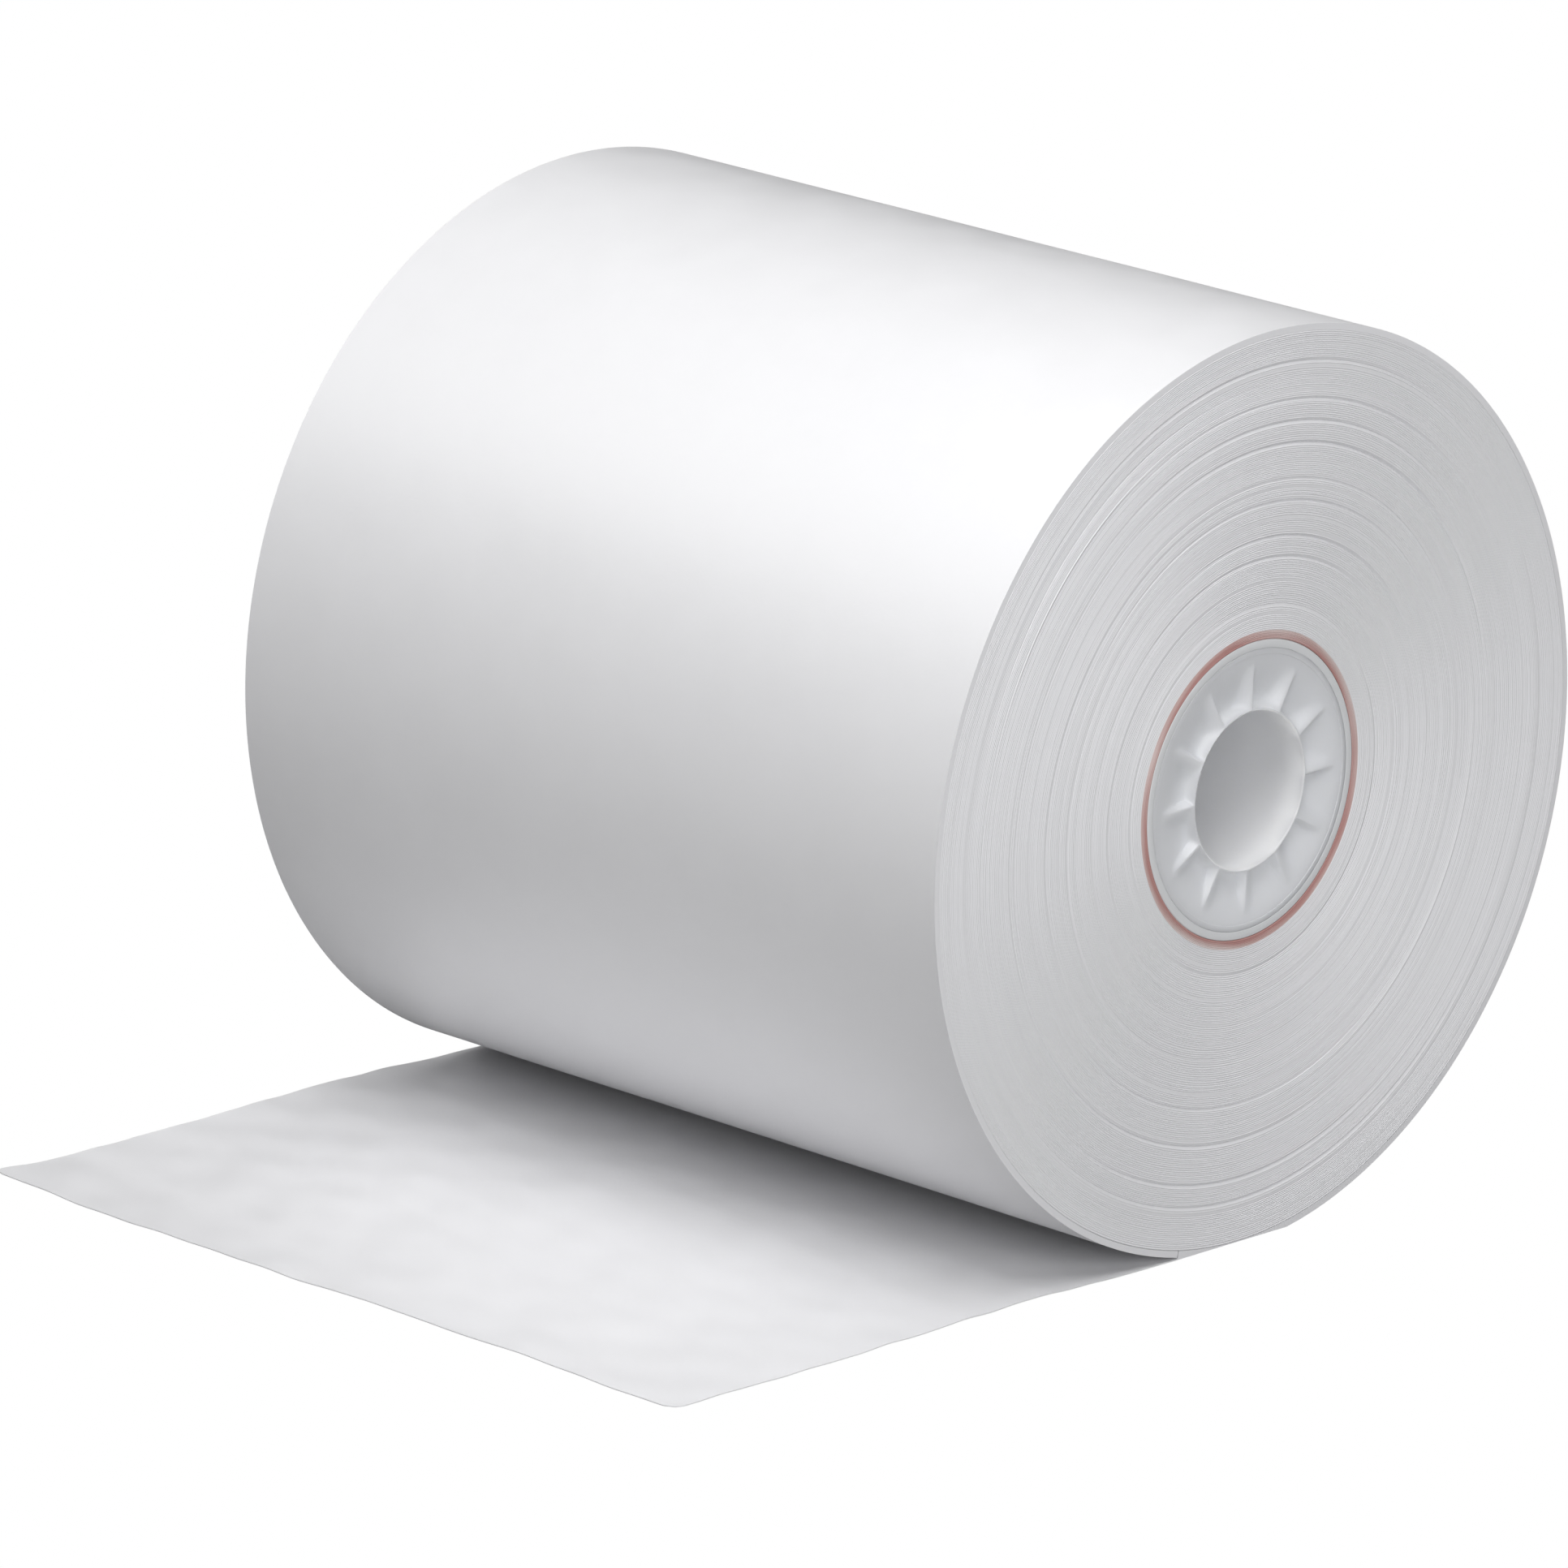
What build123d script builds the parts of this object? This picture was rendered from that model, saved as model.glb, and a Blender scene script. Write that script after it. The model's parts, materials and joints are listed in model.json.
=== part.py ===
"""Receipt paper roll: a paper strip wound on a hollow plastic core, with its free end out on the table.

Frame: the origin is on the bore's axis, midway between the core's two ends. X is the roll's axis, the
free end of the strip runs out towards -Y, and Z is up. All sizes are in millimetres.

The strip is one length of paper. It is cut here into the stretches that look or move differently: the
first wraps at the core with their red margins, the wraps of the winding in bands, the outermost turn,
and the tail.
"""

import os
from math import acos, degrees

from build123d import *

# Driving sizes
web_width = 76.2  # a 3 inch wide strip
roll_radius = 38.0  # outside of the outermost turn
paper_thickness = 0.08
tail_reach = 65.2  # from the roll's axis to the strip's free edge
rest_flat = 0.48  # how far the roll's own weight flattens it where it stands
web_creep = 0.9  # how far the strip has moved along the axis from the core to the outside

core_radius = 12.3
core_wall = 0.7
bore_radius = 6.5

# Core tube and the two plugs pressed into it
half_width = web_width / 2
plug_radius = core_radius - core_wall
plug_depth = 14.0
plug_skirt = 1.0
plug_sleeve = 0.9
plug_floor = 1.0
recess_depth = 0.75  # of the ring-shaped floor between skirt and sleeve
rib_count = 12
rib_phase = 1.5  # degrees, from +Y to the first rib
rib_crest_depth = 0.1
rib_ramp = 1.7
rib_steep = 0.3
rib_web = 1.0

# The first wraps at the core
tack_thickness = 0.06
tack_width = 10.0
tack_end_gap = 6.0
start_inner = core_radius + tack_thickness
start_outer = 13.05
red_margin = 5.0

# The winding in bands, each (node, outer radius, how far the band has crept along the axis)
bands = (
    ("inner_wraps", 15.0, 0.0),
    ("winding_band_1", 22.4, 0.25),
    ("winding_band_2", 27.2, 0.45),
    ("winding_band_3", 33.4, 0.65),
    ("winding_band_4", 37.32, 0.85),
)

# The outermost turn and the tail
turn_inner = roll_radius - paper_thickness
turn_start = 259.0  # degrees from +Y: the turn's inner end, just past where the strip leaves the roll
table_level = -(roll_radius - rest_flat)
sheet_top = table_level + paper_thickness
lip_end = -8.0
fed_end = -25.0
bend_line = -45.0
tail_corner = 1.0


def ring(outer, inner, x_from, x_to):
    """A tube about the roll's axis."""
    section = Plane.YZ.offset(x_from) * (Circle(outer) - Circle(inner))
    return extrude(section, x_to - x_from)


def paper_sheet(y_from, y_to):
    """A flat stretch of the strip on the table, the full width of the roll."""
    middle = Pos(web_creep, (y_from + y_to) / 2, (table_level + sheet_top) / 2)
    return middle * Box(web_width, abs(y_to - y_from), paper_thickness)


def end_plug(side):
    """One hub of the core: skirt, floor and sleeve as one moulding, with ribs like ratchet teeth."""
    rim = side * half_width
    skirt_inner = plug_radius - plug_skirt
    sleeve_outer = bore_radius + plug_sleeve

    def at(radius, depth):
        return (rim - side * depth, radius)

    profile = Polyline(
        at(plug_radius, 0),
        at(skirt_inner, 0),
        at(skirt_inner, recess_depth),
        at(sleeve_outer, recess_depth),
        at(sleeve_outer, 0),
        at(bore_radius, 0),
        at(bore_radius, plug_depth),
        at(sleeve_outer, plug_depth),
        at(sleeve_outer, recess_depth + plug_floor),
        at(skirt_inner, recess_depth + plug_floor),
        at(skirt_inner, plug_depth),
        at(plug_radius, plug_depth),
        close=True,
    )
    body = revolve(make_face(profile), Axis.X)

    # A rib has a long slope on one side and a steep one on the other, and a web behind the floor.
    rib_foot = -recess_depth - plug_floor / 2
    rib_section = Polyline(
        (rib_ramp, -recess_depth),
        (0, -rib_crest_depth),
        (-rib_steep, -recess_depth),
        (-rib_steep, -plug_depth),
        (rib_web - rib_steep, -plug_depth),
        (rib_web - rib_steep, rib_foot),
        (rib_ramp, rib_foot),
        close=True,
    )
    rib_plane = Plane(origin=(rim, 0, 0), x_dir=(0, 0, 1), z_dir=(0, side, 0))
    rib = extrude(rib_plane * make_face(rib_section), plug_radius)
    trim_outer = skirt_inner + plug_skirt / 2
    trim = ring(trim_outer, sleeve_outer - plug_sleeve / 2, *sorted((rim, rim - side * plug_depth)))
    for n in range(rib_count):
        body += (Rot(rib_phase + n * 360 / rib_count, 0, 0) * rib) & trim
    return body


def tack_strip():
    """The line of adhesive that holds the strip's inner end to the core tube."""
    half = degrees(tack_width / 2 / core_radius)
    arcs = (
        CenterArc((0, 0), core_radius, 90 - half, 2 * half),
        CenterArc((0, 0), start_inner, 90 - half, 2 * half),
    )
    ends = [Line(arcs[0] @ end, arcs[1] @ end) for end in (0, 1)]
    length = web_width - 2 * tack_end_gap
    return extrude(Plane.YZ * make_face([*arcs, *ends]), length / 2, both=True)


def outermost_turn():
    """The last turn: up the front, over, down the back, flat under the roll and out as a short lip."""
    flat_half_angle = degrees(acos((roll_radius - rest_flat) / roll_radius))
    inner_half_angle = degrees(acos(-sheet_top / turn_inner))
    outer_arc = CenterArc((0, 0), roll_radius, turn_start, flat_half_angle - 90 - turn_start)
    inner_arc = CenterArc((0, 0), turn_inner, turn_start, inner_half_angle - 90 - turn_start)
    lip = Polyline(outer_arc @ 1, (lip_end, table_level), (lip_end, sheet_top), inner_arc @ 1)
    inner_end = Line(outer_arc @ 0, inner_arc @ 0)
    section = Plane.YZ.offset(web_creep) * make_face([outer_arc, lip, inner_arc, inner_end])
    return extrude(section, half_width, both=True)


def tail_tip():
    """The last stretch of the strip, with its cut corners a little rounded by handling."""
    tip = paper_sheet(bend_line, -tail_reach)
    corners = tip.edges().filter_by(Axis.Z).group_by(Axis.Y)[0]
    return fillet(corners, tail_corner)


parts = {
    "core_tube": ring(core_radius, plug_radius, -half_width, half_width),
    "end_plug_near": end_plug(1),
    "end_plug_far": end_plug(-1),
    "tack_strip": tack_strip(),
    "start_wraps": ring(start_outer, start_inner, red_margin - half_width, half_width - red_margin),
    "red_margin_near": ring(start_outer, start_inner, half_width - red_margin, half_width),
    "red_margin_far": ring(start_outer, start_inner, -half_width, red_margin - half_width),
    "outermost_turn": outermost_turn(),
    "fed_sheet": paper_sheet(lip_end, fed_end),
    "tail_sheet": paper_sheet(fed_end, bend_line),
    "tail_tip": tail_tip(),
}
band_inner = start_outer
for node, band_outer, creep in bands:
    parts[node] = ring(band_outer, band_inner, creep - half_width, creep + half_width)
    band_inner = band_outer

os.makedirs("parts", exist_ok=True)
for node, solid in parts.items():
    export_step(solid, f"parts/{node}.step")
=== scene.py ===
"""A short fat roll of receipt paper on a ribbed plastic core, with the free end of the strip out on the table.

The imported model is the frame, in metres: X is the roll's axis, the strip runs out towards -Y, and Z is up. Each
section is one real piece, in the order in which a roll is made: core tube, end plugs, glue, first wraps, winding,
outermost turn, free end. The floor, the lights and the camera come last.
"""

import json
import math

import bpy
import numpy as np
from mathutils import Matrix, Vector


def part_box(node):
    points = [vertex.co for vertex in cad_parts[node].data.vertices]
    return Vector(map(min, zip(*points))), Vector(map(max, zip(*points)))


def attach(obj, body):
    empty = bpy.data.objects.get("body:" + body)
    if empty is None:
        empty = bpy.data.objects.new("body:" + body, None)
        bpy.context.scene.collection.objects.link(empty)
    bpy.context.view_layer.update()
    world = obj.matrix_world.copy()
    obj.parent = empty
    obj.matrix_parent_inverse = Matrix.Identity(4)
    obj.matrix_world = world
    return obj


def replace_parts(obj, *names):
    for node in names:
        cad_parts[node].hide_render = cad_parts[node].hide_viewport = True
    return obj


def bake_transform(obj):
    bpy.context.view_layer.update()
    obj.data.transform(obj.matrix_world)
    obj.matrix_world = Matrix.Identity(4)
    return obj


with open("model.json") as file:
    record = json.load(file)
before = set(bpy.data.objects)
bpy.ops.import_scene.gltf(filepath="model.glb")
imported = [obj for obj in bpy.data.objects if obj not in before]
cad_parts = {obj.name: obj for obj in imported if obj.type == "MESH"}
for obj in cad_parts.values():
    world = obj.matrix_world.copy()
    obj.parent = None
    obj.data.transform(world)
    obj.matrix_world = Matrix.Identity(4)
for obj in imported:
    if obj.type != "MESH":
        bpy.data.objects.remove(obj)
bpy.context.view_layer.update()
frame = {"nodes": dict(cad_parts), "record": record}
mm = 0.001

# ---------------------------------------------------------------------------------------------------------------
# Core tube. A thin tube of natural translucent polypropylene, extruded and cut off square, as wide as the strip,
# with rims that the cutter leaves a little rounded. The strip is wound straight on it.

tube_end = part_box("core_tube")[1].x
tube_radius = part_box("core_tube")[1].y
tube_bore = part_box("end_plug_near")[1].y
rim_round = 0.10 * mm  # outside
seam_round = 0.05 * mm  # where it meets the plug
turning_steps = 192


def put_mesh(name, vertices, quads):
    """An object from vertices and quads. The quads are turned if the volume they enclose comes out negative, which
    is the sum over each quad of corner a dot (b cross c + c cross d). Edges sharper than 38 degrees stay sharp."""
    a, b, c, d = (vertices[quads[:, k]] for k in range(4))
    if np.einsum("ij,ij->", a, np.cross(b, c) + np.cross(c, d)) < 0:
        quads = quads[:, ::-1]
    mesh = bpy.data.meshes.new(name)
    mesh.vertices.add(len(vertices))
    mesh.vertices.foreach_set("co", vertices.astype(np.float32).ravel())
    mesh.loops.add(quads.size)
    mesh.loops.foreach_set("vertex_index", quads.astype(np.int32).ravel())
    mesh.polygons.add(len(quads))
    mesh.polygons.foreach_set("loop_start", np.arange(0, quads.size, 4, dtype=np.int32))
    mesh.update(calc_edges=True)
    mesh.validate()
    mesh.polygons.foreach_set("use_smooth", np.ones(len(quads), bool))
    mesh.set_sharp_from_angle(angle=math.radians(38))
    piece = bpy.data.objects.new(name, mesh)
    bpy.context.scene.collection.objects.link(piece)
    return piece


def grid_quads(rows, columns, wrap_rows):
    """The quads of a grid of rows by columns. The last column always meets the first, and the last row may."""
    index = np.arange(rows * columns).reshape(rows, columns)
    index = np.hstack([index, index[:, :1]])
    if wrap_rows:
        index = np.vstack([index, index[:1]])
    return np.stack([index[:-1, :-1], index[1:, :-1], index[1:, 1:], index[:-1, 1:]], -1).reshape(-1, 4)


def turned(name, x, radius, angle):
    """A closed ring about the X axis: the point at row i, column j is (x, r cos a, r sin a) with all three read
    from arrays of that shape. Rows run round the section's outline and columns round the axis."""
    x, radius, angle = np.broadcast_arrays(x, radius, angle)
    points = np.stack([x, radius * np.cos(angle), radius * np.sin(angle)], -1)
    return put_mesh(name, points.reshape(-1, 3), grid_quads(*x.shape, wrap_rows=True))


def corner(x, radius, size, start, end, steps=5):
    """A rounded corner of a section: size times (cos, sin) of the angles from start to end, in degrees, about the
    point (x, radius)."""
    a = np.radians(np.linspace(start, end, steps))
    return np.stack([x + size * np.cos(a), radius + size * np.sin(a)], -1)


def around(steps):
    """Evenly spaced angles for one turn, as a row."""
    return np.linspace(0, 2 * math.pi, steps, endpoint=False)[None, :]


tube_outline = np.vstack([
    corner(tube_end - rim_round, tube_radius - rim_round, rim_round, 90, 0),
    corner(tube_end - seam_round, tube_bore + seam_round, seam_round, 0, -90),
    corner(seam_round - tube_end, tube_bore + seam_round, seam_round, -90, -180),
    corner(rim_round - tube_end, tube_radius - rim_round, rim_round, 180, 90),
])
core_tube = turned("core_tube_moulding", tube_outline[:, :1], tube_outline[:, 1:], around(turning_steps))


def new_group(name, inputs, outputs):
    """An empty shader group with the named float inputs, each with its default, and the named float outputs."""
    group = bpy.data.node_groups.new(name, "ShaderNodeTree")
    for socket, default in inputs.items():
        group.interface.new_socket(socket, in_out="INPUT", socket_type="NodeSocketFloat").default_value = default
    for socket in outputs:
        group.interface.new_socket(socket, in_out="OUTPUT", socket_type="NodeSocketFloat")
    return group, group.nodes.new("NodeGroupInput"), group.nodes.new("NodeGroupOutput")


def node(tree, kind, settings=None, **inputs):
    """Adds a node. Settings are its own properties, and an input is a value or another node's output socket."""
    made = tree.nodes.new(kind)
    for key, value in (settings or {}).items():
        setattr(made, key, value)
    for key, value in inputs.items():
        socket = made.inputs[int(key[1:])] if key[0] == "_" else made.inputs[key.replace("_", " ")]
        if isinstance(value, bpy.types.NodeSocket):
            tree.links.new(value, socket)
        else:
            socket.default_value = value
    return made


def math_node(tree, operation, *values):
    """The output of one Math node on these values or sockets."""
    return node(tree, "ShaderNodeMath", {"operation": operation},
                **{f"_{k}": value for k, value in enumerate(values)}).outputs[0]


def plain_shader(name, **settings):
    """A material with one Principled shader, its constant values set on the shader's own sockets."""
    material = bpy.data.materials.new(name)
    material.use_nodes = True
    shader = material.node_tree.nodes["Principled BSDF"]
    for key, value in settings.items():
        shader.inputs[key.replace("_", " ")].default_value = value
    return material, material.node_tree, shader


# Moulding flow: broad cloudy streaks that the melt leaves, and a fine orange-peel skin over them.
flow_group, flow_in, flow_out = new_group("moulding_flow", {"Cloud size": 3.0, "Skin size": 0.25},
                                          ("Cloud", "Skin"))
place = node(flow_group, "ShaderNodeTexCoord").outputs["Object"]
for label, size, detail in (("Cloud", "Cloud size", 3.0), ("Skin", "Skin size", 2.0)):
    scale = math_node(flow_group, "DIVIDE", 1 / mm, flow_in.outputs[size])
    noise = node(flow_group, "ShaderNodeTexNoise", Vector=place, Scale=scale, Detail=detail, Roughness=0.55)
    flow_group.links.new(noise.outputs["Fac"], flow_out.inputs[label])


def plastic(name, tint, cloud_size, subsurface):
    """Translucent polypropylene: the cloud moves the tint and the roughness a little, and the skin is the bump."""
    material, tree, shader = plain_shader(name, Roughness=0.34, IOR=1.49, Subsurface_Weight=subsurface,
                                          Subsurface_Scale=2.5 * mm)
    shader.inputs["Subsurface Radius"].default_value = (1.0, 1.0, 0.95)
    flow = node(tree, "ShaderNodeGroup", {"node_tree": flow_group}, Cloud_size=cloud_size)
    colour = node(tree, "ShaderNodeMix", {"data_type": "RGBA"}, Factor=flow.outputs["Cloud"],
                  _6=(*[0.93 * c for c in tint], 1), _7=(*tint, 1))
    tree.links.new(colour.outputs[2], shader.inputs["Base Color"])
    rough = node(tree, "ShaderNodeMapRange", Value=flow.outputs["Cloud"], To_Min=0.28, To_Max=0.42)
    tree.links.new(rough.outputs[0], shader.inputs["Roughness"])
    bump = node(tree, "ShaderNodeBump", Strength=0.4, Distance=0.02 * mm, Height=flow.outputs["Skin"])
    tree.links.new(bump.outputs["Normal"], shader.inputs["Normal"])
    return material


tube_plastic = plastic("tube_plastic", (0.84, 0.855, 0.87), 5.0, 0.2)
core_tube.data.materials.append(tube_plastic)
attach(core_tube, "winding")
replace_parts(core_tube, "core_tube")

# ---------------------------------------------------------------------------------------------------------------
# End plugs. A polypropylene hub is pressed into each end of the tube until it is flush with the rim. Between its
# skirt and the sleeve of the spindle bore is a shallow dished floor, with twelve ribs over it like ratchet teeth:
# each rises slowly on one side and drops steeply on the other.

plug_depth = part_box("end_plug_near")[1].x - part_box("end_plug_near")[0].x
plug_skirt = 1.0 * mm
plug_sleeve = 0.9 * mm
plug_floor = 1.0 * mm
recess_depth = 1.15 * mm
spindle_radius = frame["record"]["mounts"][0]["dims"]["r_mm"] * mm
rib_count = 12
rib_phase = math.radians(1.5)  # from +Y
rib_places = np.array([-0.75, -0.50, -0.34, -0.12, -0.04, 0.05, 0.30, 0.80, 1.35, 1.75, 2.05]) * mm
rib_heights = np.array([0.0, 0.10, 0.45, 0.97, 1.0, 0.98, 0.84, 0.50, 0.16, 0.04, 0.0])  # share of the floor's depth
crest_depth, crest_rise = 0.16 * mm, 0.06 * mm  # below the rim at the skirt, and how much higher at the sleeve
skirt_round, floor_round, lip_round = 0.05 * mm, 0.04 * mm, 0.16 * mm
floor_columns = 4


def plug_sheet(radius):
    """Angles and rib heights over the plug's face, one row for each radius. Beside a rib a column keeps its distance
    from the rib's crest, so its angle is that distance over the radius. On the slow side the distance falls to half
    from the bore to the skirt, in step with the rib's height. Between two ribs the angles are even."""
    out = np.clip((radius - spindle_radius) / (tube_bore - plug_skirt - spindle_radius), 0, 1)[:, None]
    near = np.where(rib_places > 0, rib_places * (1 - 0.5 * out), rib_places + 0 * out) / radius[:, None]
    pitch = 2 * math.pi / rib_count
    share = np.linspace(0, 1, floor_columns + 2)[1:-1][None, :]
    gap = near[:, -1:] + share * (pitch + near[:, :1] - near[:, -1:])
    sector = np.hstack([near, gap])
    turns = rib_phase + pitch * np.arange(rib_count)
    angle = (turns[None, :, None] + sector[:, None, :]).reshape(len(radius), -1)
    height = np.tile(np.concatenate([rib_heights, np.zeros(floor_columns)]), rib_count)[None, :]
    return angle, height


def end_plug(name, side):
    """One plug, at the end of the roll on that side of the middle. Its outline runs over the rim, down the dished
    floor, up to the sleeve's lip, along the bore, and back behind the floor and up inside the skirt. The floor falls
    from the skirt as a power of the share of the way, times one minus an exponential that brings it back up to the
    sleeve's lip, and only its rows carry the ribs."""
    skirt_inner = tube_bore - plug_skirt
    rim_inner = skirt_inner + 0.5 * mm  # the floor's fall starts in the skirt's own width
    lip_radius = spindle_radius + lip_round
    fall = np.concatenate([np.linspace(0, 0.80, 18), [0.84, 0.88, 0.92, 0.95, 0.975, 1]])
    floor_radius = rim_inner + fall * (lip_radius - rim_inner)
    floor_depth = floor_round + recess_depth * fall**1.3 * (1 - np.exp((fall - 1) / 0.06))
    rim = np.vstack([corner(skirt_round, tube_bore - skirt_round, skirt_round, 90, 180),
                     corner(floor_round, rim_inner + floor_round, floor_round, 180, 270)])
    lip = corner(0.20 * mm, lip_radius, lip_round, 180, 270, 6)
    behind = np.array([
        (recess_depth + plug_floor, spindle_radius),
        (plug_depth * 0.5, spindle_radius),
        (plug_depth, spindle_radius),
        (plug_depth, spindle_radius + plug_sleeve),
        (recess_depth + plug_floor, spindle_radius + plug_sleeve),
        (recess_depth + plug_floor, skirt_inner),
        (plug_depth, skirt_inner),
        (plug_depth, tube_bore),
        (plug_depth * 0.5, tube_bore),
    ])
    outline = np.vstack([rim, np.stack([floor_depth, floor_radius], -1), lip, behind])
    angle, height = plug_sheet(outline[:, 1])
    depth = np.repeat(outline[:, :1], angle.shape[1], axis=1)
    rows = slice(len(rim), len(rim) + len(fall))
    crest = np.minimum(depth[rows], (crest_depth - crest_rise * fall)[:, None])
    depth[rows] -= height * (depth[rows] - crest)
    if side < 0:
        angle = 2 * rib_phase - angle  # the far plug is the near one turned round
    plug = turned(name, side * (tube_end - depth), outline[:, 1:], angle)
    plug.data.materials.append(plug_plastic)
    plug.data.materials.append(painted_light_bore_plastic)
    # Faces in the bore take the second material, the lighter glowing copy, which paints light into the bore's shade.
    middles = np.zeros(3 * len(plug.data.polygons), np.float32)
    plug.data.polygons.foreach_get("center", middles)
    in_bore = np.hypot(middles[1::3], middles[2::3]) < spindle_radius + 0.1 * mm
    plug.data.polygons.foreach_set("material_index", in_bore.astype(np.int32))
    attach(plug, "winding")
    return plug


plug_plastic = plastic("plug_plastic", (0.84, 0.855, 0.885), 3.5, 0.6)
# The bore takes a lighter copy of the plug's plastic with a faint glow: painted light that lifts the shade deep in
# the bore.
painted_light_bore_plastic = plastic("painted_light_bore_plastic", (0.955, 0.96, 0.97), 5.0, 0.8)
shader = painted_light_bore_plastic.node_tree.nodes["Principled BSDF"]
shader.inputs["Emission Color"].default_value = (0.93, 0.95, 1.0, 1)
shader.inputs["Emission Strength"].default_value = 0.06  # painted glow: emission standing in for light that soaks through the wall, to lift the bore's shade
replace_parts(end_plug("ribbed_plug_near", 1), "end_plug_near")
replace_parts(end_plug("ribbed_plug_far", -1), "end_plug_far")

# ---------------------------------------------------------------------------------------------------------------
# Line of glue. The strip's inner end is tacked to the tube along the roll with a thin line of adhesive, which
# dries to a hazy film. It shows only when the paper has run out.

glue_film, tree, shader = plain_shader("glue_film", Roughness=0.3, IOR=1.47)
flow = node(tree, "ShaderNodeGroup", {"node_tree": flow_group}, Cloud_size=1.5, Skin_size=0.4)
haze = node(tree, "ShaderNodeMix", {"data_type": "RGBA"}, Factor=flow.outputs["Cloud"],
            _6=(0.80, 0.74, 0.58, 1), _7=(0.90, 0.88, 0.80, 1))
tree.links.new(haze.outputs[2], shader.inputs["Base Color"])
bump = node(tree, "ShaderNodeBump", Strength=0.6, Distance=0.03 * mm, Height=flow.outputs["Skin"])
tree.links.new(bump.outputs["Normal"], shader.inputs["Normal"])
frame["nodes"]["tack_strip"].data.materials.clear()
frame["nodes"]["tack_strip"].data.materials.append(glue_film)

# ---------------------------------------------------------------------------------------------------------------
# Wound paper. About three hundred layers of smooth white bond, each 0.08 mm thick. At the ends of the roll their
# cut edges make fine ridges, which shine like a brushed disc, and the layers have crept along the axis in zones.
# The first layers carry a red stripe along both edges, which shows at each end as a thin ring round the core.

winding_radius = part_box("winding_band_4")[1].z + 0.1 * mm
first_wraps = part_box("inner_wraps")[1].z
web_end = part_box("outermost_turn")[1].x
ridge_pitch = 0.16 * mm  # two layers to a ridge
ridge_height = 0.036 * mm
creep_seed = 11
walk_everywhere, walk_at_top, lean_size = 0.003, 0.015, 0.009  # in mm, how far zones of layers stand in or out
foot_step = 0.06  # in mm, down from the first wraps
band_steps = 288
bands = ("start_wraps", "red_margin_near", "red_margin_far", "inner_wraps", "winding_band_1", "winding_band_2",
         "winding_band_3", "winding_band_4")

# Arcs where a few layers stand out or in: radius in mm, middle angle and half width in degrees, and height in mm.
proud_arcs = (
    (19.0, 75, 45, -0.10), (20.7, 70, 40, -0.16), (23.6, 82, 38, -0.18), (25.4, 60, 45, -0.10),
    (26.6, -28, 34, 0.07), (28.3, 66, 42, -0.20), (30.1, 84, 40, -0.12), (31.9, 70, 36, -0.15),
    (32.4, 138, 26, 0.06), (33.6, 132, 22, -0.12), (35.0, 96, 40, -0.10), (22.0, 200, 40, -0.10),
    (26.0, 262, 36, -0.12), (29.0, 250, 40, -0.12), (32.2, 270, 34, -0.14), (34.0, 285, 45, -0.12),
)


def creep(radius, angle):
    """How far the layers at each radius have moved along the axis. From the first wraps to the outside it is a cone,
    with a small step down at its foot. Added to that are a smooth random walk over the radius, which is strongest
    near the top, a lean whose direction drifts with the radius, and the few arcs named above. An arc is its height
    times a Gaussian of the angle over its half width, times one of the radius over one ridge."""
    table = np.arange(0, 40 * mm, ridge_pitch)
    rng = np.random.default_rng(creep_seed)
    walk = np.convolve(rng.normal(0, 1, len(table) + 30), np.hanning(31), "valid")[: len(table)] / 3.4
    lean = np.convolve(rng.normal(0, 1, len(table) + 48), np.hanning(49), "valid")[: len(table)] / 4.3
    drift = np.cumsum(rng.normal(0, 0.05, len(table)))
    k = np.clip(np.round(radius / ridge_pitch).astype(int), 0, len(table) - 1)
    cone = np.clip((radius - first_wraps) / (winding_radius - first_wraps), 0, 1)
    wound = radius > first_wraps
    upper = np.exp((np.cos(angle - math.radians(68)) - 1) / 0.22)
    out = wound * ((walk_everywhere + walk_at_top * upper) * walk[k]
                   + lean_size * lean[k] * np.cos(angle - drift[k]) - foot_step * np.exp(-cone / 0.04))
    out = out + (web_end - tube_end) / mm * cone
    for arc_radius, middle, width, height in proud_arcs:
        off = (angle - math.radians(middle) + math.pi) % (2 * math.pi) - math.pi
        out = out + height * np.exp(-(off / math.radians(width)) ** 2) * np.exp(
            -((radius - arc_radius * mm) / (0.7 * ridge_pitch)) ** 2)
    return out * mm


def wound_band(name, inner, outer, near, far):
    """A band of layers: its outline runs out over the ridges at the near end and back over them at the far end. The
    rows are in turn the foot and the crest of a ridge, with random spacings and heights, and both ends of a layer
    move together."""
    rng = np.random.default_rng(round(outer / (0.01 * mm)))
    rows = 2 * max(2, round((outer - inner) / ridge_pitch))
    way = np.cumsum(np.concatenate([[0], rng.uniform(0.65, 1.35, rows)]))
    radius = (inner + (outer - inner) * way / way[-1])[:, None]
    angle = around(band_steps)
    move = creep(radius, angle)
    rise = (np.where(np.arange(rows + 1) % 2, 0.5, -0.5) * ridge_height * rng.uniform(0.8, 1.2, rows + 1))[:, None]
    x = np.vstack([near + move + rise, (far + move - rise)[::-1]])
    return turned(name, x, np.concatenate([radius, radius[::-1]]), angle)


# Paper grain: slow mottling from the forming of the sheet, and short fine fibres in its surface.
grain_group, grain_in, grain_out = new_group("paper_grain", {"Mottle size": 6.0, "Fibre size": 0.35},
                                             ("Mottle", "Fibre"))
place = node(grain_group, "ShaderNodeTexCoord").outputs["Object"]
for label, size, detail in (("Mottle", "Mottle size", 4.0), ("Fibre", "Fibre size", 3.0)):
    scale = math_node(grain_group, "DIVIDE", 1 / mm, grain_in.outputs[size])
    noise = node(grain_group, "ShaderNodeTexNoise", Vector=place, Scale=scale, Detail=detail, Roughness=0.6)
    grain_group.links.new(noise.outputs["Fac"], grain_out.inputs[label])

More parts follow.
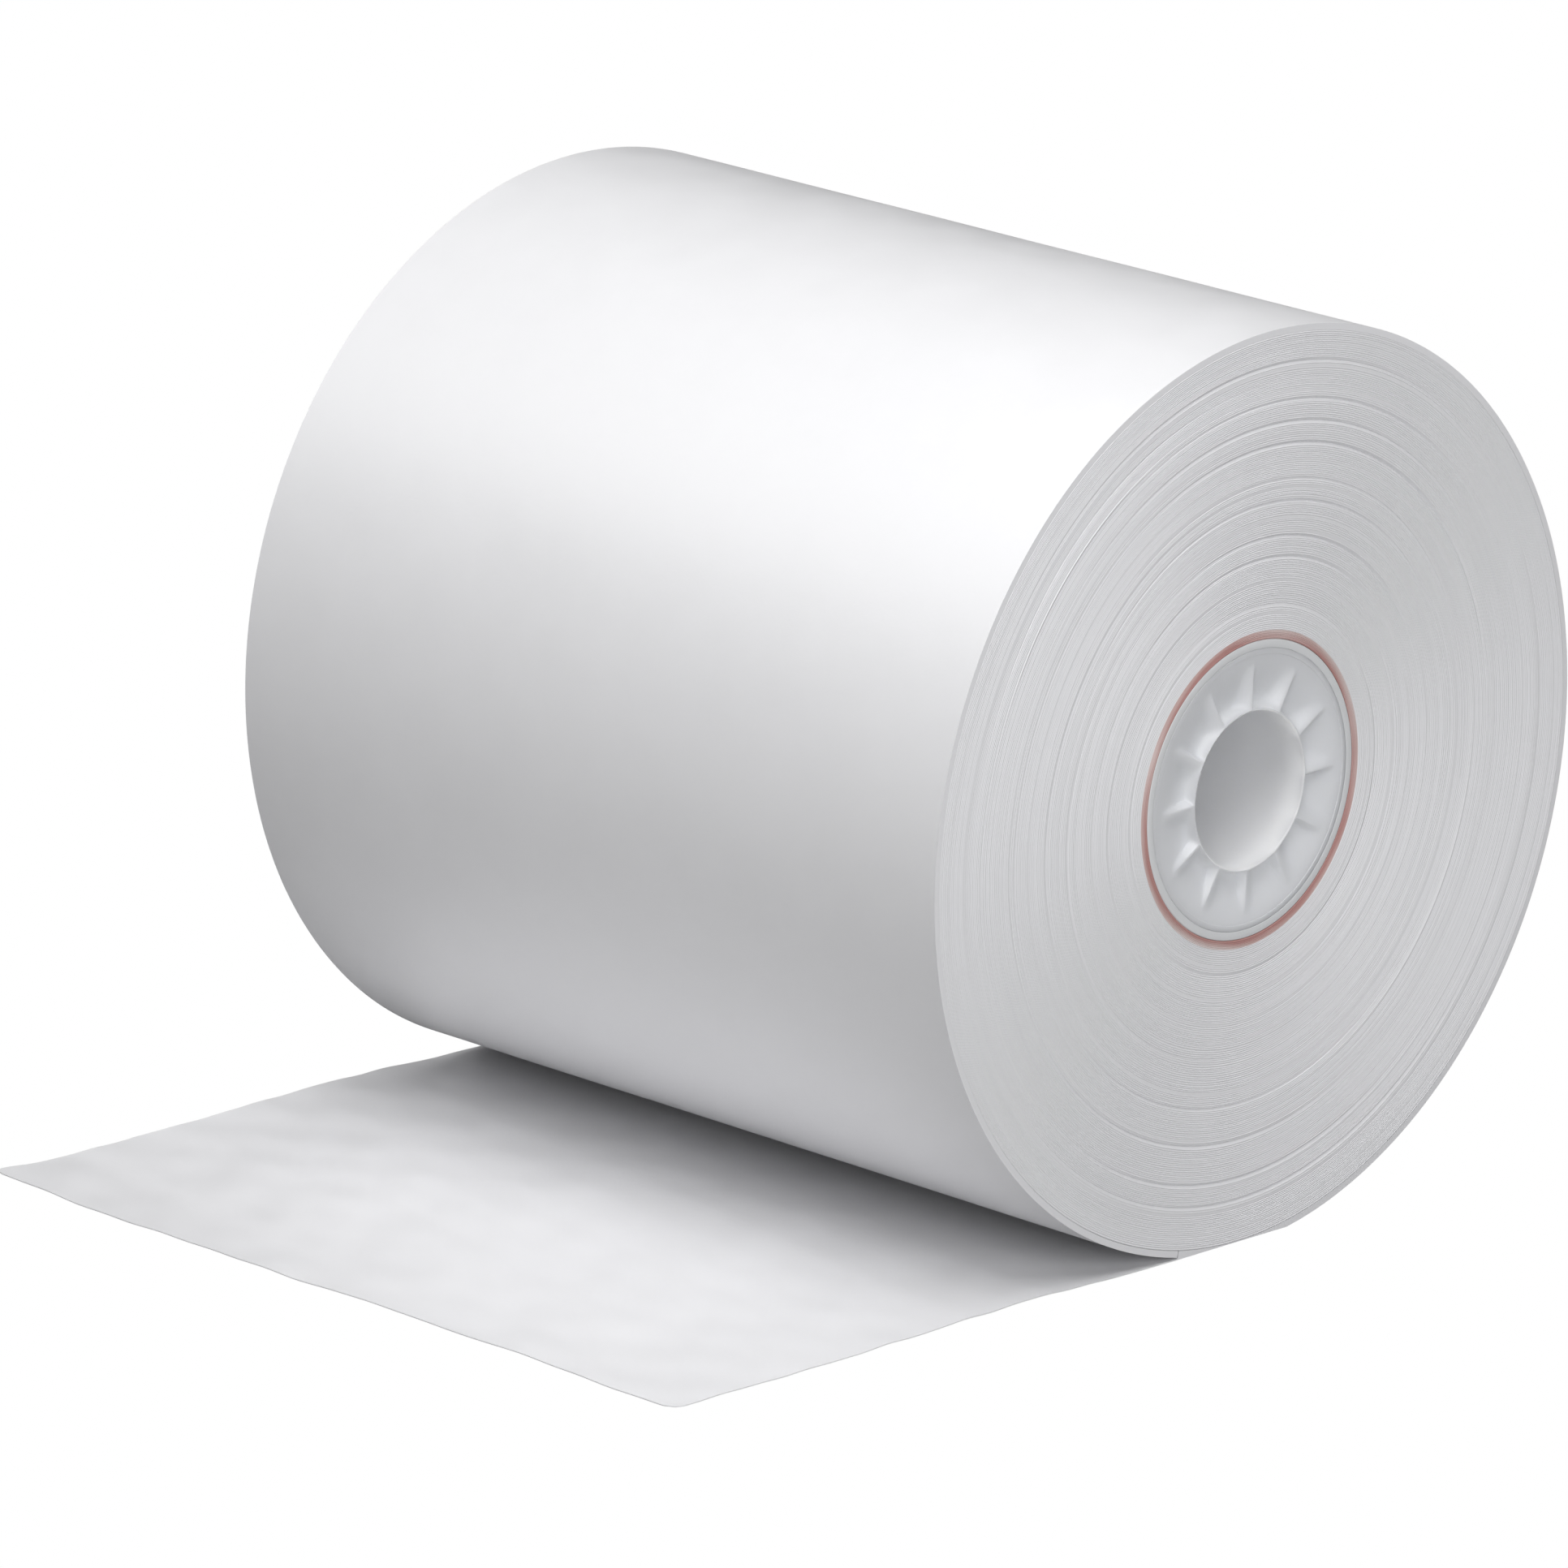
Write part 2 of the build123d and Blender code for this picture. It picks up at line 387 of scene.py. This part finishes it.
# Layer lines: noise over (radius, direction round the axis), stretched so far round the axis that it makes rings.
# Lines are single layers and Zones are groups of them. Radius goes out too, in millimetres.
lines_group, lines_in, lines_out = new_group(
    "layer_lines", {"Line width": 0.16, "Zone width": 1.6, "Wander": 1.2}, ("Lines", "Zones", "Radius"))
place = node(lines_group, "ShaderNodeTexCoord").outputs["Object"]
split = node(lines_group, "ShaderNodeSeparateXYZ", Vector=place)
flat = node(lines_group, "ShaderNodeCombineXYZ", Y=split.outputs["Y"], Z=split.outputs["Z"]).outputs[0]
length = node(lines_group, "ShaderNodeVectorMath", {"operation": "LENGTH"}, _0=flat).outputs["Value"]
radius = math_node(lines_group, "MULTIPLY", length, 1 / mm)
lines_group.links.new(radius, lines_out.inputs["Radius"])
heading = node(lines_group, "ShaderNodeVectorMath", {"operation": "NORMALIZE"}, _0=flat).outputs["Vector"]
heading = node(lines_group, "ShaderNodeVectorMath", {"operation": "SCALE"}, _0=heading,
               _3=lines_in.outputs["Wander"]).outputs["Vector"]
heading = node(lines_group, "ShaderNodeSeparateXYZ", Vector=heading)
for label, width, detail in (("Lines", "Line width", 2.0), ("Zones", "Zone width", 3.0)):
    across = math_node(lines_group, "DIVIDE", radius, lines_in.outputs[width])
    spot = node(lines_group, "ShaderNodeCombineXYZ", X=across, Y=heading.outputs["Y"],
                Z=heading.outputs["Z"]).outputs[0]
    noise = node(lines_group, "ShaderNodeTexNoise", Vector=spot, Scale=1.0, Detail=detail, Roughness=0.5)
    lines_group.links.new(noise.outputs["Fac"], lines_out.inputs[label])


def edge_paper(name, light, dark, red=None):
    """Wound paper seen at the ends of the roll. Zones and lines move the colour between dark and light, and both
    are bump. With a red colour, the stripe's ink shows up to a radius that wavers round the ring."""
    material, tree, shader = plain_shader(name, Roughness=0.62, Specular_IOR_Level=0.35)
    lines = node(tree, "ShaderNodeGroup", {"node_tree": lines_group})
    grain = node(tree, "ShaderNodeGroup", {"node_tree": grain_group})
    mix = math_node(tree, "MULTIPLY_ADD", lines.outputs["Lines"], 0.25,
                    math_node(tree, "MULTIPLY", lines.outputs["Zones"], 0.75))
    colour = node(tree, "ShaderNodeMix", {"data_type": "RGBA"}, Factor=mix, _6=(*dark, 1), _7=(*light, 1)).outputs[2]
    if red:
        reach = math_node(tree, "MULTIPLY_ADD", lines.outputs["Zones"], -1.8, lines.outputs["Radius"])
        ink = node(tree, "ShaderNodeMapRange", Value=reach, From_Min=11.55, From_Max=12.35,
                   To_Min=1.0, To_Max=0.05).outputs[0]
        colour = node(tree, "ShaderNodeMix", {"data_type": "RGBA"}, Factor=ink, _6=colour, _7=(*red, 1)).outputs[2]
    tree.links.new(colour, shader.inputs["Base Color"])
    rough = node(tree, "ShaderNodeMapRange", Value=grain.outputs["Mottle"], To_Min=0.52, To_Max=0.70)
    tree.links.new(rough.outputs[0], shader.inputs["Roughness"])
    height = math_node(tree, "MULTIPLY_ADD", lines.outputs["Lines"], 0.35, lines.outputs["Zones"])
    bump = node(tree, "ShaderNodeBump", Strength=0.6, Distance=0.012 * mm, Height=height)
    fine = node(tree, "ShaderNodeBump", Strength=0.3, Distance=0.01 * mm, Height=grain.outputs["Fibre"],
                Normal=bump.outputs["Normal"])
    tree.links.new(fine.outputs["Normal"], shader.inputs["Normal"])
    return material


wound_paper = edge_paper("wound_paper", (0.85, 0.85, 0.87), (0.79, 0.79, 0.81))
red_striped_paper = edge_paper("red_striped_paper", (0.80, 0.74, 0.73), (0.72, 0.62, 0.60), red=(0.50, 0.27, 0.25))

inner = tube_radius + 0.02 * mm
for band in bands:
    low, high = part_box(band)
    outer = winding_radius if band == "winding_band_4" else high.z
    if band.startswith("winding"):
        piece = wound_band("wound_" + band, inner, outer, tube_end, -tube_end)
    else:
        piece = wound_band("wound_" + band, inner, outer, high.x, low.x)
    red = band.startswith("red")
    piece.data.materials.append(red_striped_paper if red else wound_paper)
    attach(piece, "winding")
    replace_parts(piece, band)
    if band not in ("start_wraps", "red_margin_near"):
        inner = outer

# ---------------------------------------------------------------------------------------------------------------
# Outermost turn. The last turn of the strip: up the front, over the top and down the back, flat where the roll
# stands on it, and out in front as a short lip. The winding turns inside it as paper is drawn off, so its inside
# is a hollow just wider than the winding.

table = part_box("outermost_turn")[0].z
roll_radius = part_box("outermost_turn")[1].z
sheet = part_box("tail_sheet")[1].z - table  # the paper's thickness
lip_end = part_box("fed_sheet")[1].y
turn_start = math.radians(259.0)
web_middle = (web_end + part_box("outermost_turn")[0].x) / 2
web_half = web_end - web_middle
flat_half = math.acos(-table / roll_radius)
turn_dent = 0.03 * mm


def waver(s, x, seed, size):
    """Gentle unevenness of a sheet: a sum of eight sine waves over (s, x), each of a random direction and phase
    and a wavelength of about size. It is divided so that it stays within about one."""
    rng = np.random.default_rng(seed)
    out = np.zeros(np.broadcast(s, x).shape)
    for heading, phase, stretch in zip(rng.uniform(0, math.pi, 8), rng.uniform(0, 6.28, 8), rng.uniform(0.6, 1.6, 8)):
        out += np.sin(2 * math.pi * (s * math.cos(heading) + x * math.sin(heading)) / (size * stretch) + phase)
    return out / 4


def plate(name, top, bottom):
    """A closed thin sheet between two grids of points. Its columns run over the top and back along the bottom, and
    the first and last rows are closed with a row of quads between the two."""
    rows, columns = top.shape[:2]
    points = np.concatenate([top, bottom[:, ::-1]], axis=1)
    quads = grid_quads(rows, 2 * columns, wrap_rows=False)
    step = np.arange(columns - 1)
    for row, turn in ((0, 1), (rows - 1, -1)):
        first = row * 2 * columns
        cap = np.stack([step, step + 1, 2 * columns - 2 - step, 2 * columns - 1 - step], -1)[:, ::turn] + first
        quads = np.vstack([quads, cap])
    return put_mesh(name, points.reshape(-1, 3), quads)


def across(steps):
    """Distances from the strip's middle line over its width, closer together at its two edges."""
    share = np.linspace(-1, 1, steps)
    return web_half * (0.35 * np.sin(share * math.pi / 2) + 0.65 * share)


arc = np.linspace(turn_start, -math.pi / 2 + flat_half, 300)
nip = roll_radius * math.cos(turn_start) + 0.2 * mm  # just behind the line where the strip leaves the roll
flat_y = np.concatenate([np.linspace(roll_radius * math.sin(flat_half), nip, 25)[1:],
                         [nip - 0.05 * mm, nip - 0.4 * mm, lip_end]])
outer_y = np.concatenate([roll_radius * np.cos(arc), flat_y])
outer_z = np.concatenate([roll_radius * np.sin(arc), np.full(len(flat_y), table)])
out_y = np.concatenate([np.cos(arc), np.zeros(len(flat_y))])
out_z = np.concatenate([np.sin(arc), -np.ones(len(flat_y))])
x = across(90)[None, :]
s = np.concatenate([[0], np.cumsum(np.hypot(np.diff(outer_y), np.diff(outer_z)))])[:, None]
lie = np.clip((s[-1] - s) / (14 * mm), 0, 1) * np.clip(s / (6 * mm), 0, 1)  # flat near the table and the nip
dent = -turn_dent * lie * (1 + waver(s, x, 3, 26 * mm)) / 2

# The inside lies behind the outside by back, which is negative: up to the hollow round the winding as far as the
# nip, and one thickness of paper in front of it.
hollow = winding_radius + 0.02 * mm
filled = np.where(flat_y >= nip, -table - np.sqrt(hollow**2 - flat_y**2), sheet)
back = -np.concatenate([np.full(len(arc), roll_radius - hollow), filled])[:, None] + 0 * x
outer = np.stack(np.broadcast_arrays(web_middle + x, outer_y[:, None] + out_y[:, None] * dent,
                                     outer_z[:, None] + out_z[:, None] * dent), -1)
inner = np.stack(np.broadcast_arrays(web_middle + x, outer_y[:, None] + out_y[:, None] * back,
                                     outer_z[:, None] + out_z[:, None] * back), -1)
outermost_turn = plate("paper_outermost_turn", outer, inner)


def face_paper(name, light, dark):
    """The face of the sheet: the mottle moves the colour and the sheen, the fibres are the bump."""
    material, tree, shader = plain_shader(name, Roughness=0.38, Specular_IOR_Level=0.5)
    grain = node(tree, "ShaderNodeGroup", {"node_tree": grain_group})
    colour = node(tree, "ShaderNodeMix", {"data_type": "RGBA"}, Factor=grain.outputs["Mottle"],
                  _6=(*dark, 1), _7=(*light, 1))
    tree.links.new(colour.outputs[2], shader.inputs["Base Color"])
    rough = node(tree, "ShaderNodeMapRange", Value=grain.outputs["Mottle"], From_Min=0.3, From_Max=0.7,
                 To_Min=0.34, To_Max=0.42)
    tree.links.new(rough.outputs[0], shader.inputs["Roughness"])
    cloud = node(tree, "ShaderNodeBump", Strength=0.5, Distance=0.10 * mm, Height=grain.outputs["Mottle"])
    fine = node(tree, "ShaderNodeBump", Strength=0.35, Distance=0.012 * mm, Height=grain.outputs["Fibre"],
                Normal=cloud.outputs["Normal"])
    tree.links.new(fine.outputs["Normal"], shader.inputs["Normal"])
    return material


bond_paper = face_paper("bond_paper", (0.865, 0.865, 0.88), (0.83, 0.83, 0.845))
outermost_turn.data.materials.append(bond_paper)
outermost_turn.data.materials.append(wound_paper)
facing = np.zeros(3 * len(outermost_turn.data.polygons), np.float32)
outermost_turn.data.polygons.foreach_get("normal", facing)
outermost_turn.data.polygons.foreach_set("material_index", (abs(facing[::3]) > 0.7).astype(np.int32))
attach(outermost_turn, "outer_turn")
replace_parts(outermost_turn, "outermost_turn")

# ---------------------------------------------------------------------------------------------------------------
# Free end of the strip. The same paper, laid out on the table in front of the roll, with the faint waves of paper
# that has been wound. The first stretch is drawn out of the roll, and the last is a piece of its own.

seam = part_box("tail_sheet")[0].y + 2 * mm
tip_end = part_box("tail_tip")[0].y
tip_corner = 1.2 * mm
tip_rows = 64
slow_wave, fast_wave = 0.10 * mm, 0.06 * mm
side_lift, edge_lift, corner_lift = 0.25 * mm, 0.22 * mm, 0.22 * mm


def lie_of(y, x):
    """Height of the strip's underside above the table: waves that fade out towards the roll, a slight lift of the
    two side edges near the roll, and a slight lift of the free edge and of its far corner."""
    away = np.clip((lip_end - y) / (14 * mm), 0, 1)
    wave = slow_wave * away**2 * (1.1 + waver(y, x, 8, 19 * mm)) + fast_wave * away * (1 + waver(y, x, 5, 7 * mm))
    side = side_lift * (x / web_half) ** 6 * away * np.exp(-((y + 30 * mm) / (14 * mm)) ** 2)
    last = np.clip((y - (tip_end + 9 * mm)) / (-9 * mm), 0, 1)
    far_corner = np.exp((-web_half - x) / (9 * mm))
    edge = last**2 * (edge_lift + 0.12 * mm * np.sin(x / (9 * mm)) + corner_lift * far_corner)
    return wave + side + edge


def strip_of(name, y, x):
    """A stretch of the strip: its underside is at the height above and its face is one thickness over it."""
    height = table + lie_of(y, x)
    bottom = np.stack(np.broadcast_arrays(web_middle + x, y, height), -1)
    top = bottom + (0, 0, sheet)
    return plate(name, top, bottom)


x = across(110)[None, :]
paper_tail = strip_of("paper_tail", np.linspace(lip_end, seam, 90)[:, None], x)
y = np.linspace(seam, tip_end, tip_rows)[:, None]
inset = np.clip((tip_end + tip_corner - y) / tip_corner, 0, 1)  # the corner's quarter circle
narrow = tip_corner * (1 - np.sqrt(1 - inset**2))
paper_tip = strip_of("paper_tip", np.broadcast_to(y, (tip_rows, x.shape[1])), x * (1 - narrow / web_half))
for piece in (paper_tail, paper_tip):
    piece.data.materials.append(bond_paper)
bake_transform(paper_tail)
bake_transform(paper_tip)
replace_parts(paper_tail, "fed_sheet", "tail_sheet")
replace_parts(paper_tip, "tail_tip")

# ---------------------------------------------------------------------------------------------------------------
# Floor, lights and camera. The floor is white where the camera sees it and dark grey to the paper. A small lamp
# hangs close over the front of the roll, five large soft ones stand around it, and the lens is long and low.

floor_mesh = bpy.data.meshes.new("floor")
reach = 3.0
floor_mesh.from_pydata([(-reach, -reach, table), (reach, -reach, table), (reach, reach, table),
                        (-reach, reach, table)], [], [(0, 1, 2, 3)])
floor = bpy.data.objects.new("floor", floor_mesh)
bpy.context.scene.collection.objects.link(floor)
pale, tree, shader = plain_shader("pale_floor", Base_Color=(0.25, 0.25, 0.25, 1), Roughness=0.9)
seen = node(tree, "ShaderNodeLightPath").outputs["Is Camera Ray"]
glow = node(tree, "ShaderNodeEmission", Color=(1, 1, 1, 1), Strength=1.0)
both = node(tree, "ShaderNodeMixShader", _0=seen, _1=shader.outputs[0], _2=glow.outputs[0])
tree.links.new(both.outputs[0], tree.nodes["Material Output"].inputs["Surface"])
floor_mesh.materials.append(pale)

world = bpy.data.worlds.new("studio")
bpy.context.scene.world = world
world.use_nodes = True
sky = world.node_tree.nodes["Background"]
sky.inputs["Color"].default_value = (1, 1, 1, 1)
seen = node(world.node_tree, "ShaderNodeLightPath").outputs["Is Camera Ray"]
level = node(world.node_tree, "ShaderNodeMapRange", Value=seen, To_Min=0.0, To_Max=1.0)
world.node_tree.links.new(level.outputs[0], sky.inputs["Strength"])


def soft_light(name, azimuth, elevation, size, power, distance=0.9):
    """A square area light at that azimuth and elevation, in degrees, which faces the roll."""
    a, e = math.radians(azimuth), math.radians(elevation)
    way = np.array([math.sin(a) * math.cos(e), -math.cos(a) * math.cos(e), math.sin(e)])
    data = bpy.data.lights.new(name, "AREA")
    data.shape = "SQUARE"
    data.size = size
    data.energy = power
    light = bpy.data.objects.new(name, data)
    light.location = way * distance
    light.rotation_euler = (math.pi / 2 - e, 0, a)
    bpy.context.scene.collection.objects.link(light)


soft_light("overhead", 45, 60, 0.20, 0.695, distance=0.35)
soft_light("upper_left", -45, 45, 0.55, 2.53)
soft_light("left_high", -90, 70, 0.55, 1.40)
soft_light("camera_side", 43, 15, 0.55, 1.52)
soft_light("right", 80, 15, 0.55, 2.62)
soft_light("behind", 180, 40, 0.55, 0.60)

camera_azimuth, camera_elevation, camera_roll = math.radians(42.697), math.radians(15.989), math.radians(2.2156)
camera_distance = 1034.1 * mm
camera_aim = (-0.26348 * roll_radius, -0.19745 * roll_radius)  # to the right and up
a, e = camera_azimuth, camera_elevation
back = np.array([math.sin(a) * math.cos(e), -math.cos(a) * math.cos(e), math.sin(e)])
right = np.array([math.cos(a), math.sin(a), 0.0])
up = np.cross(back, right)
right, up = (right * math.cos(camera_roll) + up * math.sin(camera_roll),
             up * math.cos(camera_roll) - right * math.sin(camera_roll))
camera = bpy.data.objects.new("camera", bpy.data.cameras.new("camera"))
camera.data.lens = 291.87
camera.data.sensor_width = 36.0
camera.data.clip_start = 0.05
camera.data.clip_end = 20.0
bpy.context.scene.collection.objects.link(camera)
place = np.array([web_middle, 0, 0]) + back * camera_distance + right * camera_aim[0] + up * camera_aim[1]
camera.matrix_world = Matrix([[*right, 0], [*up, 0], [*back, 0], [*place, 1]]).transposed()
bpy.context.scene.camera = camera
bpy.context.scene.view_settings.view_transform = "Standard"
